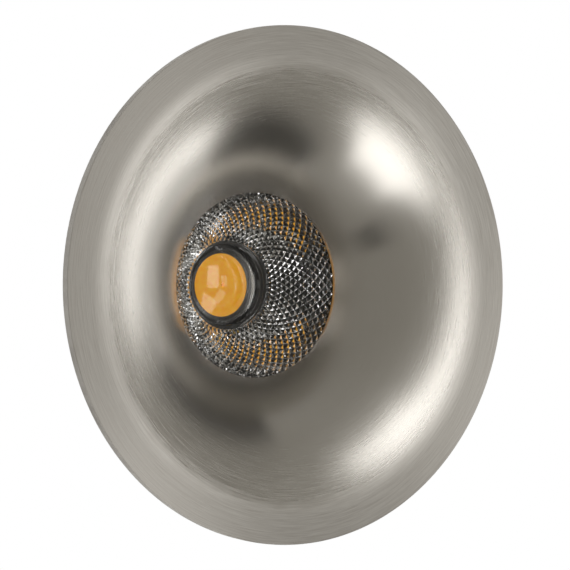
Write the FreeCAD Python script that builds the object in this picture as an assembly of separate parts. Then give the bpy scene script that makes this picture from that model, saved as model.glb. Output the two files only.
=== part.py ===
"""Recessed soffit downlight: nickel trumpet bezel on a bayonet, clear knurled lens over one round LED,
cast housing with a finned heat sink, rear wiring cover with a cable gland, two sprung fixing clips.

Frame: millimetres, as installed. z = 0 is the face of the soffit, +Z points up into the void above it
and the light leaves towards -Z. The optical axis is the Z axis. The gland points along +X and the
clips stand at +Y (left) and -Y (right).
"""
import FreeCAD, Part
import math
import os

V = FreeCAD.Vector
X_AXIS, Y_AXIS, Z_AXIS = V(1, 0, 0), V(0, 1, 0), V(0, 0, 1)
ORIGIN = V(0, 0, 0)

# ---------------------------------------------------------------- clearances
seat_clearance = 0.1        # a loose seat between two fixed pieces
turning_clearance = 0.3     # radial gap around the turning bezel
facing_gap = 0.3            # axial gap between the turning bezel and a fixed piece
pivot_clearance = 0.05      # radial clearance of the clip arm on its pin
through_clearance = 0.15    # radial clearance of a screw in a plain hole
weld = 0.5                  # how deep a joined form reaches into its neighbour
cut_margin = 1.0            # how far a cutting form reaches past the face it opens

# ---------------------------------------------------------------- bezel
bezel_diameter = 102.0
rim_thickness = 2.0
rim_land = 4.0              # flat ring outside the flare
rim_round = 0.3
flare_depth = 17.0          # from the front of the rim to the throat
throat_diameter = 38.0
throat_edge = 0.4           # thickness of the bezel at the throat
neck_wall = 1.8
neck_end_thickness = 1.1    # of neck left past the groove of the seal
soffit_gasket_thickness = 1.5
soffit_gasket_width = 2.8
soffit_gasket_inset = 1.0   # from the outer edge of the rim

# ---------------------------------------------------------------- bayonet
lug_count = 3
lug_angle = 20.0
lug_height = 1.3
lug_thickness = 2.0
lug_depth = 5.6             # from the front of the housing to the lug
twist_angle = 30.0
stop_clearance_angle = 0.8
neck_seal_section = 1.2     # diameter of the O-ring's cord
neck_seal_pocket = 1.5      # width of its groove
neck_seal_proud = 0.15      # how far the seated O-ring stands out of the neck
neck_seal_offset = 2.0      # from the lug to the groove

# ---------------------------------------------------------------- lens
lens_flange_overlap = 2.4   # how far the flange reaches behind the throat
lens_flange_thickness = 0.8
lens_height = 19.7
lens_wall_top_radius = 19.6
lens_base_radius = 9.4
lens_base_height = 1.9      # plain foot under the knurled wall
lens_base_round = 0.5
lens_wall_bulge = 1.2
lens_recess_radius = 8.3
lens_recess_depth = 2.4
knurl_height = 0.4          # the diamonds stand out of the smooth wall by this
lens_seal_thickness = 0.8
lens_seal_width = 1.1
carrier_rim_wall = 0.9
carrier_wall = 1.3
carrier_foot_width = 1.6
carrier_foot_thickness = 1.6
carrier_throat_height = 3.4  # the cone of the carrier ends this far above the foot of the lens
knurl_clearance = 0.5

# ---------------------------------------------------------------- LED
led_radius = 7.25
led_dome = 0.25
led_dam_width = 0.8
led_dam_height = 0.6
emitter_gap = 0.8           # from the foot of the lens to the dam
board_width = 20.0
board_thickness = 1.0
pad_thickness = 0.4
holder_opening_clearance = 0.6
holder_height = 2.0         # above the face of the board
holder_screw_margin = 3.3   # from the opening to the middle of a screw
holder_edge = 3.7           # from the middle of a screw to the outside of the ring
holder_notch_width = 9.0
holder_notch_wall = 0.9     # of the ring left behind the notch
contact_offset = 2.0
contact_width = 1.6
contact_overhang = 0.8      # how far a contact reaches into the opening
contact_length = 3.4
contact_thickness = 0.5
lead_start_gap = 0.2        # from the edge of the notch to the stripped end
lead_diameter = 1.3
lead_spacing = 1.44
lead_bore_margin = 4.1      # from the edge of the notch to the middle of the bore
grommet_wall = 0.8
grommet_lip = 0.7
grommet_lip_thickness = 0.6
grommet_length = 3.6
lead_bend_share = 0.45      # of the shorter run that an arc of a lead may use

# ---------------------------------------------------------------- housing and heat sink
housing_front_gap = 1.2     # behind the flare
housing_wall = 2.4          # outside the bayonet groove
housing_bore_clearance = 0.4
sink_gasket_thickness = 0.6
sink_base_thickness = 4.0
sink_height = 13.0          # base and fins together
sink_core_radius = 20.5
fin_count = 24
fin_thickness = 1.6
fin_tip_inset = 0.6
fin_tip_taper = 3.0         # how far the fins step in towards the cover
fin_tip_fall = 5.0          # height of that slope
sink_screw_count = 3
sink_screw_circle = 26.4
sink_screw_turn = 37.5      # first screw stands between two fins
sink_screw_depth = 7.0
cover_boss_radius = 3.0

# ---------------------------------------------------------------- wiring cover and gland
cover_radius = 18.5
cover_wall = 1.5
cover_inner_height = 15.0
cover_roof = 1.6
cover_roof_round = 1.2
cover_gasket_thickness = 0.6
cover_screw_offset = 2.5    # from the wall of the cover to the middle of its screws
cover_ear_radius = 3.1
cover_ear_height = 3.0
cover_screw_count = 3
cover_screw_turn = 60.0
cover_screw_depth = 6.5
gland_pad_depth = 2.7       # from the outside of the cover to the flat inside face of its pad
gland_pad_stand_off = 1.0   # of the pad past the round wall
gland_pad_width = 15.0
gland_thread_radius = 4.95
gland_bore_radius = 3.6
gland_hex = 13.0            # across flats
gland_flange_thickness = 3.0
gland_sleeve_radius = 5.4
gland_sleeve_length = 7.0
gland_washer_thickness = 0.8
gland_washer_radius = 6.4
gland_locknut_thickness = 2.5
gland_locknut_hex = 12.4
gland_thread_proud = 0.8
gland_insert_radius = 4.4
gland_insert_bore = 3.1
gland_insert_proud = 0.6
gland_insert_depth = 5.4
gland_nut_grip = 5.0
gland_nut_end = 2.2
gland_nut_hole = 4.0

# ---------------------------------------------------------------- terminal block
terminal_width = 17.0
terminal_depth = 10.0
terminal_height = 8.0
terminal_pitch = 8.0
terminal_bore_height = 4.2
terminal_clamp_radius = 2.2
terminal_clamp_bore = 1.2
terminal_clamp_inset = 0.8
terminal_screw_radius = 1.0
terminal_screw_offset = 2.5
terminal_screw_inset = 0.5
terminal_lead_reach = 1.2
terminal_fixing_head_depth = 2.4

# ---------------------------------------------------------------- fasteners
small_screw_radius = 1.25
small_head_radius = 2.2
small_head_height = 1.5
socket_radius = 0.9
socket_depth = 0.8
fixing_radius = 1.0
fixing_head_radius = 1.8
fixing_head_height = 1.2

# ---------------------------------------------------------------- clips
clip_pad_stand_off = 0.4    # of the housing's pad past its round wall
clip_pad_width = 20.0
clip_pad_start = 26.4       # inner face of the pad, outside the bayonet groove
bracket_sheet = 1.2
bracket_width = 18.0
bracket_height = 16.0
bracket_foot = 1.0          # from the front of the housing to the lower edge of the plate
bracket_ear_radius = 3.0
bracket_screw_low = 8.0
bracket_screw_high = 13.0
bracket_screw_depth = 2.0
pivot_height = 11.0         # above the soffit
pin_radius = 1.25
pin_head_radius = 2.0
pin_head_height = 0.7
coil_radius = 2.4           # to the middle of the wire
coil_width = 7.6
coil_full_turns = 4
spring_wire = 1.0
spring_arm_leg = 9.5
spring_plate_leg = 8.5
spring_seat_gap = 0.1
arm_sheet = 0.8
arm_rest_angle = 22.0       # below level, pointing out and down
arm_length = 14.4
arm_foot_start = 10.2
arm_foot_lift = 1.2
arm_cheek_gap = 0.4         # from the cheek to the plate of the bracket
arm_web_gap = 0.2           # from the leg of the spring to the web
arm_web_start = 1.0
arm_cheek_length = 8.0
arm_flange_height = 2.4
arm_side_gap = 0.6          # from the cheek to the ear of the bracket
boot_wall = 0.8
stop_lug_length = 2.0
stop_lug_start = 0.8
stop_lug_reach = 2.2

# ---------------------------------------------------------------- worked out from the above
rim_radius = bezel_diameter / 2
flare_radius = rim_radius - rim_land
throat_radius = throat_diameter / 2
z_soffit = 0.0
z_rim_back = z_soffit - soffit_gasket_thickness
z_rim_front = z_rim_back - rim_thickness
z_throat = z_rim_front + flare_depth
z_lip = z_throat + throat_edge
z_lens = z_lip + facing_gap
z_flange = z_lens + lens_flange_thickness
z_ledge = z_flange + lens_seal_thickness
z_lens_foot = z_lens + lens_height
z_dam = z_lens_foot + emitter_gap
z_board = z_dam + led_dam_height
z_pad = z_board + board_thickness
z_sink = z_pad + pad_thickness
z_housing_rear = z_sink - sink_gasket_thickness
z_fins = z_sink + sink_base_thickness
z_sink_top = z_sink + sink_height
z_cover = z_sink_top + cover_gasket_thickness
z_cover_top = z_cover + cover_inner_height + cover_roof
z_gland = z_cover + cover_inner_height / 2

holder_opening = lens_base_radius + holder_opening_clearance
holder_screw_offset = holder_opening + holder_screw_margin
holder_radius = holder_screw_offset + holder_edge
holder_notch_start = holder_opening + holder_notch_wall
contact_start = holder_opening - contact_overhang
lead_bore_offset = holder_notch_start + lead_bore_margin

flare_fall = flare_radius - throat_radius
flare_sweep = 2 * math.atan2(flare_depth, flare_fall)
flare_bend = flare_fall / math.sin(flare_sweep)
z_flare_centre = z_rim_front + flare_bend

lens_flange_radius = throat_radius + lens_flange_overlap
carrier_radius = lens_flange_radius + seat_clearance + carrier_rim_wall
neck_inner_radius = carrier_radius + turning_clearance + seat_clearance
neck_radius = neck_inner_radius + neck_wall
housing_bore = neck_radius + turning_clearance
lug_radius = neck_radius + lug_height
groove_radius = lug_radius + turning_clearance
housing_radius = groove_radius + housing_wall
carrier_foot_radius = carrier_radius + carrier_foot_width
cover_screw_circle = cover_radius + cover_screw_offset
gland_pad_inner = cover_radius - gland_pad_depth
gland_pad_outer = cover_radius + gland_pad_stand_off


def flare_back(radius):
    """Height of the back of the flare at a distance from the axis."""
    back_bend = flare_bend - rim_thickness
    return z_flare_centre - math.sqrt(back_bend ** 2 - (flare_radius - radius) ** 2)


z_housing_front = flare_back(housing_bore) + housing_front_gap
z_lug = z_housing_front + lug_depth
z_seal_groove = z_lug + lug_thickness + neck_seal_offset
z_neck_end = z_seal_groove + neck_seal_pocket + neck_end_thickness
bracket_face = housing_radius + clip_pad_stand_off + bracket_sheet
pivot_reach = bracket_face + spring_wire / 2 + coil_radius + spring_seat_gap


# ---------------------------------------------------------------- forms
def lathe(points, angle=360.0, start=0.0):
    """Solid turned about Z from (radius, height) points; a point with a third value True is the middle
    of an arc between its neighbours."""
    edges = []
    count = len(points)
    here = 0
    while here < count:
        first = V(points[here][0], 0, points[here][1])
        after = points[(here + 1) % count]
        if len(after) > 2:
            last = points[(here + 2) % count]
            middle = V(after[0], 0, after[1])
            edges.append(Part.Arc(first, middle, V(last[0], 0, last[1])).toShape())
            here += 2
        else:
            edges.append(Part.makeLine(first, V(after[0], 0, after[1])))
            here += 1
    solid = Part.Face(Part.Wire(edges)).revolve(ORIGIN, Z_AXIS, angle)
    solid.rotate(ORIGIN, Z_AXIS, start)
    return solid


def ring(inner, outer, low, high):
    return lathe([(inner, low), (outer, low), (outer, high), (inner, high)])


def rod(radius, start, end):
    """Round bar between two points."""
    start, end = V(*start), V(*end)
    return Part.makeCylinder(radius, (end - start).Length, start, end - start)


def box(low, high):
    low, high = V(*low), V(*high)
    return Part.makeBox(high.x - low.x, high.y - low.y, high.z - low.z, low)


def hex_bar(across_flats, start, end):
    """Hexagonal bar along X with two flats level."""
    corner = across_flats / 2 / math.cos(math.radians(30))
    angles = [math.radians(60 * i) for i in range(7)]
    points = [V(start[0], start[1] + corner * math.cos(a), start[2] + corner * math.sin(a)) for a in angles]
    return Part.Face(Part.makePolygon(points)).extrude(V(end[0] - start[0], 0, 0))


def around(shape, count, first=0.0):
    """Copies of a shape spaced evenly about Z."""
    copies = []
    for i in range(count):
        copy = shape.copy()
        copy.rotate(ORIGIN, Z_AXIS, first + 360.0 * i / count)
        copies.append(copy)
    return copies


def screw(point, direction, thread, head_radius, head_height, length):
    """Cap screw whose head rests at a point and whose thread runs along the direction."""
    point, direction = V(*point), V(*direction)
    shank = Part.makeCylinder(thread, length, point, direction)
    head = Part.makeCylinder(head_radius, head_height, point - direction * head_height, direction)
    socket = Part.makeCylinder(socket_radius, socket_depth, point - direction * head_height, direction)
    return shank.fuse(head).cut(socket)


def arc_middle(start, corner, end):
    """Middle of the arc that leaves start and reaches end along the lines to their corner."""
    weight = (end - start).Length / 2 / (corner - start).Length
    return (start + corner * (2 * weight) + end) * (1 / (2 * (1 + weight)))


def tube(edges, radius):
    """Round tube along a smooth path."""
    path = Part.Wire(edges)
    first = path.Edges[0]
    start = first.valueAt(first.FirstParameter)
    heading = first.tangentAt(first.FirstParameter)
    section = Part.Wire(Part.Circle(start, heading, radius).toShape())
    shell = path.makePipeShell([section], True, False)
    return shell if shell.ShapeType == "Solid" else Part.Solid(shell)


def bent_path(points):
    """Straight runs joined by tangent arcs, as (edges, radii)."""
    points = [V(*p) for p in points]
    edges, radii = [], []
    here = points[0]
    for before, corner, after in zip(points, points[1:], points[2:]):
        into, out = corner - before, after - corner
        turn = into.getAngle(out)
        trim = lead_bend_share * min(into.Length, out.Length)
        start = corner - V(into).normalize() * trim
        end = corner + V(out).normalize() * trim
        edges.append(Part.makeLine(here, start))
        edges.append(Part.Arc(start, arc_middle(start, corner, end), end).toShape())
        radii.append(trim / math.tan(turn / 2))
        here = end
    edges.append(Part.makeLine(here, points[-1]))
    return edges, radii


def biarc(start, start_heading, end, end_heading):
    """Two tangent arcs from one point and heading to another."""
    span, both = end - start, start_heading + end_heading
    share = 2 * (1 - start_heading.dot(end_heading))
    reach = (-span.dot(both) + math.sqrt(span.dot(both) ** 2 + share * span.dot(span))) / share
    first, second = start + start_heading * reach, end - end_heading * reach
    joint = (first + second) * 0.5
    return [Part.Arc(start, arc_middle(start, first, joint), joint).toShape(),
            Part.Arc(joint, arc_middle(joint, second, end), end).toShape()]


# ---------------------------------------------------------------- bezel and its seals
def make_bezel():
    """One turned trumpet: flat rim, circular flare, thin throat and a neck with bayonet lugs."""
    half = flare_sweep / 2
    back = flare_bend - rim_thickness
    neck_root = flare_back(neck_radius)
    root_angle = math.asin((flare_radius - neck_radius) / back)
    soft = rim_round * (1 - math.sqrt(0.5))
    profile = [
        (flare_radius, z_rim_front),
        (rim_radius - rim_round, z_rim_front),
        (rim_radius - soft, z_rim_front + soft, True),
        (rim_radius, z_rim_front + rim_round),
        (rim_radius, z_rim_back),
        (flare_radius, z_rim_back),
        (flare_radius - back * math.sin(root_angle / 2), z_flare_centre - back * math.cos(root_angle / 2), True),
        (neck_radius, neck_root),
        (neck_radius, z_neck_end),
        (neck_inner_radius, z_neck_end),
        (neck_inner_radius, z_lip),
        (throat_radius, z_lip),
        (throat_radius, z_throat),
        (flare_radius - flare_bend * math.sin(half), z_flare_centre - flare_bend * math.cos(half), True),
    ]
    bezel = lathe(profile)
    lug = lathe([(neck_radius - weld, z_lug), (lug_radius, z_lug),
                 (lug_radius, z_lug + lug_thickness), (neck_radius - weld, z_lug + lug_thickness)],
                lug_angle, -lug_angle / 2)
    for part in around(lug, lug_count):
        bezel = bezel.fuse(part)
    pocket = neck_seal_section - neck_seal_proud
    bezel = bezel.cut(ring(neck_radius - pocket, neck_radius + weld,
                           z_seal_groove, z_seal_groove + neck_seal_pocket))
    return bezel


def make_soffit_gasket():
    outer = rim_radius - soffit_gasket_inset
    return ring(outer - soffit_gasket_width, outer, z_rim_back, z_soffit)


def make_neck_seal():
    """O-ring in the groove of the neck."""
    middle = neck_radius + neck_seal_proud - neck_seal_section / 2
    height = z_seal_groove + neck_seal_pocket / 2
    return Part.makeTorus(middle, neck_seal_section / 2, V(0, 0, height), Z_AXIS)


# ---------------------------------------------------------------- lens and its carrier
def lens_wall(share):
    """Radius and height of the smooth wall under the knurling, from the flange (0) to the foot (1)."""
    z_wall_end = z_lens_foot - lens_base_height
    radius = lens_wall_top_radius + (lens_base_radius - lens_wall_top_radius) * share
    height = z_flange + (z_wall_end - z_flange) * share
    slope = math.hypot(lens_wall_top_radius - lens_base_radius, z_wall_end - z_flange)
    swell = lens_wall_bulge * 4 * share * (1 - share)
    return (radius + swell * (z_wall_end - z_flange) / slope,
            height + swell * (lens_wall_top_radius - lens_base_radius) / slope)


def make_lens():
    """Clear collimating lens: thin flange, curved wall that carries the knurling, shallow domed recess."""
    soft = lens_base_round * (1 - math.sqrt(0.5))
    middle = lens_wall(0.5)
    recess_bend = (lens_recess_radius ** 2 + lens_recess_depth ** 2) / (2 * lens_recess_depth)
    half = math.asin(lens_recess_radius / recess_bend) / 2
    recess_middle = (recess_bend * math.sin(half),
                     z_lens_foot - lens_recess_depth + recess_bend * (1 - math.cos(half)), True)
    return lathe([
        (0, z_lens),
        (lens_flange_radius, z_lens),
        (lens_flange_radius, z_flange),
        (lens_wall_top_radius, z_flange),
        (middle[0], middle[1], True),
        (lens_base_radius, z_lens_foot - lens_base_height),
        (lens_base_radius, z_lens_foot - lens_base_round),
        (lens_base_radius - soft, z_lens_foot - soft, True),
        (lens_base_radius - lens_base_round, z_lens_foot),
        (lens_recess_radius, z_lens_foot),
        recess_middle,
        (0, z_lens_foot - lens_recess_depth),
    ])


def make_lens_seal():
    return ring(lens_flange_radius - lens_seal_width, lens_flange_radius, z_flange, z_ledge)


def make_lens_carrier():
    """Moulded cup: rim around the flange, outer skirt, clamped foot and an inner cone beside the lens."""
    inner = lens_flange_radius - lens_seal_width
    reach = knurl_height + knurl_clearance
    z_cone_end = z_lens_foot - carrier_throat_height
    middle = lens_wall(0.5)
    slope = math.atan2(lens_wall_top_radius - lens_base_radius, z_lens_foot - lens_base_height - z_flange)
    side, rise = math.cos(slope), math.sin(slope)
    share = (z_cone_end - z_flange) / (z_lens_foot - lens_base_height - z_flange)
    end_radius = lens_wall(share)[0] + reach / side
    skirt = carrier_radius - carrier_wall
    return lathe([
        (inner, z_ledge),
        (lens_flange_radius + seat_clearance, z_ledge),
        (lens_flange_radius + seat_clearance, z_lens + seat_clearance),
        (carrier_radius, z_lens + seat_clearance),
        (carrier_radius, z_sink - carrier_foot_thickness),
        (carrier_foot_radius, z_sink - carrier_foot_thickness),
        (carrier_foot_radius, z_sink),
        (skirt, z_sink),
        (skirt, z_ledge + carrier_wall + weld),
        (inner + weld, z_ledge + carrier_wall),
        (middle[0] + (reach + carrier_wall) * side, middle[1] + (reach + carrier_wall) * rise, True),
        (end_radius + carrier_wall, z_cone_end),
        (end_radius, z_cone_end),
        (middle[0] + reach * side, middle[1] + reach * rise, True),
    ])


# ---------------------------------------------------------------- LED and what holds it
def make_thermal_pad():
    half = board_width / 2
    return box((-half, -half, z_pad), (half, half, z_sink))


def make_led_board():
    half = board_width / 2
    return box((-half, -half, z_board), (half, half, z_pad))


def make_led_dam():
    return ring(led_radius, led_radius + led_dam_width, z_dam, z_board)


def make_led_phosphor():
    """Yellow disc, cast inside the dam and slightly crowned."""
    bend = (led_radius ** 2 + led_dome ** 2) / (2 * led_dome)
    half = math.asin(led_radius / bend) / 2
    crown = (bend * math.sin(half), z_dam - led_dome + bend * (1 - math.cos(half)), True)
    return lathe([(0, z_board), (led_radius, z_board), (led_radius, z_dam), crown, (0, z_dam - led_dome)])


def holder_screw_places():
    return [(side * holder_screw_offset, 0) for side in (-1, 1)]


def make_led_holder():
    """Ring that clamps the board, with a notch where the leads leave."""
    half = board_width / 2 + seat_clearance
    low = z_board - holder_height
    holder = ring(holder_opening, holder_radius, low, z_sink)
    holder = holder.cut(box((-half, -half, z_board), (half, half, z_sink + cut_margin)))
    notch = holder_notch_width / 2
    holder = holder.cut(box((-notch, holder_notch_start, low - cut_margin),
                            (notch, holder_radius + cut_margin, z_sink + cut_margin)))
    for x, y in holder_screw_places():
        holder = holder.cut(rod(fixing_radius + through_clearance,
                                (x, y, low - cut_margin), (x, y, z_sink + cut_margin)))
    slot = contact_width / 2 + seat_clearance
    for side in (-1, 1):
        middle = side * contact_offset
        holder = holder.cut(box((middle - slot, 0, z_board - 2 * contact_thickness - seat_clearance),
                                (middle + slot, holder_radius, z_board + seat_clearance)))
    return holder


def make_led_holder_screws():
    length = holder_height + board_thickness + pad_thickness + sink_base_thickness / 2
    return Part.makeCompound([
        screw((x, y, z_board - holder_height), (0, 0, 1), fixing_radius, fixing_head_radius,
              fixing_head_height, length) for x, y in holder_screw_places()])


def make_led_contacts():
    """Two bent strips that press on the pads of the board."""
    strips = []
    for side in (-1, 1):
        low_x = side * contact_offset - contact_width / 2
        high_x = low_x + contact_width
        foot = box((low_x, contact_start, z_board - 2 * contact_thickness),
                   (high_x, contact_start + contact_thickness, z_board))
        blade = box((low_x, contact_start, z_board - 2 * contact_thickness),
                    (high_x, contact_start + contact_length, z_board - contact_thickness))
        strips.append(foot.fuse(blade))
    return Part.makeCompound(strips)


def lead_route(side):
    """From the contact through the heat sink into the terminal block."""
    z_contact = z_board - 2 * contact_thickness - lead_diameter / 2
    z_terminal = z_sink_top + terminal_bore_height
    bore_x = side * lead_spacing / 2
    return [
        (side * contact_offset, holder_notch_start + lead_start_gap, z_contact),
        (bore_x, lead_bore_offset, z_contact),
        (bore_x, lead_bore_offset, z_terminal),
        (side * terminal_pitch / 2, terminal_depth / 2, z_terminal),
        (side * terminal_pitch / 2, terminal_lead_reach, z_terminal),
    ]


def make_lead(side):
    edges, radii = bent_path(lead_route(side))
    length = sum(edge.Length for edge in edges)
    lead = tube(edges, lead_diameter / 2)
    section = math.pi * (lead_diameter / 2) ** 2
    print("lead", side, "bends", [round(r, 2) for r in radii], "length", round(length, 2),
          "volume over section times length", round(lead.Volume / (section * length), 4))
    return lead


def lead_bore_radius():
    return lead_spacing / 2 + lead_diameter / 2 + seat_clearance + grommet_wall


def make_wire_grommet():
    """Rubber sleeve in the base of the heat sink."""
    outer = lead_bore_radius()
    sleeve = rod(outer, (0, lead_bore_offset, z_sink), (0, lead_bore_offset, z_sink + grommet_length))
    lip = rod(outer + grommet_lip, (0, lead_bore_offset, z_sink - grommet_lip_thickness),
              (0, lead_bore_offset, z_sink))
    hole = rod(outer - grommet_wall, (0, lead_bore_offset, z_sink - cut_margin),
               (0, lead_bore_offset, z_sink + grommet_length + cut_margin))
    return sleeve.fuse(lip).cut(hole)


# ---------------------------------------------------------------- housing and heat sink
def sink_screw_holes(radius, low, high):
    hole = rod(radius, (sink_screw_circle, 0, low), (sink_screw_circle, 0, high))
    return around(hole, sink_screw_count, sink_screw_turn)


def make_housing():
    """Cast drum: bayonet groove in front, shoulder that clamps the carrier, pads for the clips."""
    inner = carrier_radius + housing_bore_clearance
    z_shoulder = z_neck_end + facing_gap
    z_clamp = z_sink - carrier_foot_thickness
    foot_bore = carrier_foot_radius + seat_clearance
    housing = lathe([
        (housing_bore, z_housing_front), (housing_radius, z_housing_front),
        (housing_radius, z_housing_rear), (foot_bore, z_housing_rear),
        (foot_bore, z_clamp), (inner, z_clamp), (inner, z_shoulder), (housing_bore, z_shoulder)])
    pad_face = housing_radius + clip_pad_stand_off
    half = clip_pad_width / 2
    for side in (-1, 1):
        low_y, high_y = sorted((side * clip_pad_start, side * pad_face))
        housing = housing.fuse(box((-half, low_y, z_housing_front), (half, high_y, z_housing_rear)))
    groove_low = z_lug - facing_gap
    groove_high = z_lug + lug_thickness + facing_gap
    inside = housing_bore - weld
    swept = lug_angle + twist_angle + 2 * stop_clearance_angle
    groove = lathe([(inside, groove_low), (groove_radius, groove_low), (groove_radius, groove_high),
                    (inside, groove_high)], swept, -lug_angle / 2 - stop_clearance_angle)
    way_in_low = z_housing_front - cut_margin
    way_in = lathe([(inside, way_in_low), (groove_radius, way_in_low), (groove_radius, groove_high),
                    (inside, groove_high)], lug_angle + 2 * stop_clearance_angle,
                   twist_angle - lug_angle / 2 - stop_clearance_angle)
    for cutter in around(groove, lug_count) + around(way_in, lug_count):
        housing = housing.cut(cutter)
    for hole in sink_screw_holes(small_screw_radius, z_housing_rear - sink_screw_depth,
                                 z_housing_rear + cut_margin):
        housing = housing.cut(hole)
    for side in (-1, 1):
        for place in bracket_screw_places(side):
            far = (place[0], place[1] - side * (bracket_sheet + bracket_screw_depth), place[2])
            housing = housing.cut(rod(fixing_radius, place, far))
    return housing


def make_heat_sink_gasket():
    outer = housing_radius - seat_clearance
    gasket = ring(carrier_foot_radius + seat_clearance, outer, z_housing_rear, z_sink)
    for hole in sink_screw_holes(small_screw_radius, z_housing_rear - cut_margin, z_sink + cut_margin):
        gasket = gasket.cut(hole)
    return gasket


def make_heat_sink():
    """Cast base and core with radial fins, bosses for the cover and a bore for the leads."""
    sink = rod(housing_radius, (0, 0, z_sink), (0, 0, z_fins))
    sink = sink.fuse(rod(sink_core_radius, (0, 0, z_sink), (0, 0, z_sink_top)))
    tip = housing_radius - fin_tip_inset
    outline = [(sink_core_radius - weld, z_fins - weld), (tip, z_fins - weld), (tip, z_sink_top - fin_tip_fall),
               (tip - fin_tip_taper, z_sink_top), (sink_core_radius - weld, z_sink_top)]
    side = Part.makePolygon([V(x, -fin_thickness / 2, z) for x, z in outline + outline[:1]])
    fin = Part.Face(side).extrude(V(0, fin_thickness, 0))
    boss = rod(cover_boss_radius, (cover_screw_circle, 0, z_fins - weld), (cover_screw_circle, 0, z_sink_top))
    sink = sink.multiFuse(around(fin, fin_count) + around(boss, cover_screw_count, cover_screw_turn))
    cutters = sink_screw_holes(small_screw_radius + through_clearance, z_sink - cut_margin,
                               z_fins + cut_margin)
    cutters += cover_screw_holes(small_screw_radius, z_sink_top - cover_screw_depth, z_sink_top + cut_margin)
    cutters.append(rod(lead_bore_radius(), (0, lead_bore_offset, z_sink - cut_margin),
                       (0, lead_bore_offset, z_sink_top + cut_margin)))
    for x, y in holder_screw_places():
        cutters.append(rod(fixing_radius, (x, y, z_sink - cut_margin),
                           (x, y, z_sink + sink_base_thickness / 2)))
    cutters.append(rod(fixing_radius, (0, 0, z_sink_top - sink_base_thickness), (0, 0, z_sink_top + cut_margin)))
    for cutter in cutters:
        sink = sink.cut(cutter)
    return sink


def make_heat_sink_screws():
    length = sink_base_thickness + sink_gasket_thickness + sink_screw_depth
    one = screw((sink_screw_circle, 0, z_fins), (0, 0, -1), small_screw_radius, small_head_radius,
                small_head_height, length)
    return Part.makeCompound(around(one, sink_screw_count, sink_screw_turn))


# ---------------------------------------------------------------- wiring cover
def cover_screw_holes(radius, low, high):
    hole = rod(radius, (cover_screw_circle, 0, low), (cover_screw_circle, 0, high))
    return around(hole, cover_screw_count, cover_screw_turn)


def make_wiring_cover():
    """Cap with three screw ears and a flat pad for the gland."""
    cap = rod(cover_radius, (0, 0, z_cover), (0, 0, z_cover_top))
    rim = [edge for edge in cap.Edges if abs(edge.BoundBox.ZMin - z_cover_top) < 1e-6]
    cap = cap.makeFillet(cover_roof_round, rim)
    cap = cap.multiFuse(around(rod(cover_ear_radius, (cover_screw_circle, 0, z_cover),
                                   (cover_screw_circle, 0, z_cover + cover_ear_height)),
                               cover_screw_count, cover_screw_turn))
    room = rod(cover_radius - cover_wall, (0, 0, z_cover - cut_margin), (0, 0, z_cover + cover_inner_height))
    cap = cap.cut(room)
    half = gland_pad_width / 2
    cap = cap.fuse(box((gland_pad_inner, -half, z_cover),
                       (gland_pad_outer, half, z_cover_top - cover_roof_round)))
    cap = cap.cut(box((gland_pad_inner - cover_wall, -half, z_cover - cut_margin),
                      (gland_pad_inner, half, z_cover + cover_inner_height)))
    for hole in cover_screw_holes(small_screw_radius + through_clearance, z_cover - cut_margin,
                                  z_cover + cover_ear_height + cut_margin):
        cap = cap.cut(hole)
    return cap.cut(rod(gland_thread_radius + seat_clearance, (gland_pad_inner - cut_margin, 0, z_gland),
                       (gland_pad_outer + cut_margin, 0, z_gland)))


def make_wiring_cover_gasket():
    gasket = rod(cover_radius, (0, 0, z_sink_top), (0, 0, z_cover))
    gasket = gasket.multiFuse(around(rod(cover_ear_radius, (cover_screw_circle, 0, z_sink_top),
                                         (cover_screw_circle, 0, z_cover)),
                                     cover_screw_count, cover_screw_turn))
    gasket = gasket.cut(rod(cover_radius - cover_wall, (0, 0, z_sink_top - cut_margin),
                            (0, 0, z_cover + cut_margin)))
    for hole in cover_screw_holes(small_screw_radius + through_clearance, z_sink_top - cut_margin,
                                  z_cover + cut_margin):
        gasket = gasket.cut(hole)
    return gasket


def make_wiring_cover_screws():
    length = cover_ear_height + cover_gasket_thickness + cover_screw_depth
    one = screw((cover_screw_circle, 0, z_cover + cover_ear_height), (0, 0, -1), small_screw_radius,
                small_head_radius, small_head_height, length)
    return Part.makeCompound(around(one, cover_screw_count, cover_screw_turn))


# ---------------------------------------------------------------- cable gland
x_flange = gland_pad_outer + gland_washer_thickness
x_sleeve = x_flange + gland_flange_thickness
x_sleeve_end = x_sleeve + gland_sleeve_length
x_insert_end = x_sleeve_end + gland_insert_proud
x_nut = x_sleeve_end - gland_nut_grip
x_nut_end = x_insert_end + seat_clearance + gland_nut_end


def gland_rod(radius, start, end):
    return rod(radius, (start, 0, z_gland), (end, 0, z_gland))


def make_gland_body():
    x_thread = gland_pad_inner - gland_locknut_thickness - gland_thread_proud
    body = gland_rod(gland_thread_radius, x_thread, x_flange + weld)
    body = body.fuse(hex_bar(gland_hex, (x_flange, 0, z_gland), (x_sleeve, 0, z_gland)))
    body = body.fuse(gland_rod(gland_sleeve_radius, x_sleeve - weld, x_sleeve_end))
    body = body.cut(gland_rod(gland_bore_radius, x_thread - cut_margin, x_sleeve_end + cut_margin))
    return body.cut(gland_rod(gland_insert_radius, x_sleeve_end - gland_insert_depth, x_sleeve_end + cut_margin))


def make_gland_insert():
    sleeve = gland_rod(gland_insert_radius, x_sleeve_end - gland_insert_depth, x_insert_end)
    return sleeve.cut(gland_rod(gland_insert_bore, x_sleeve - cut_margin, x_insert_end + cut_margin))


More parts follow.
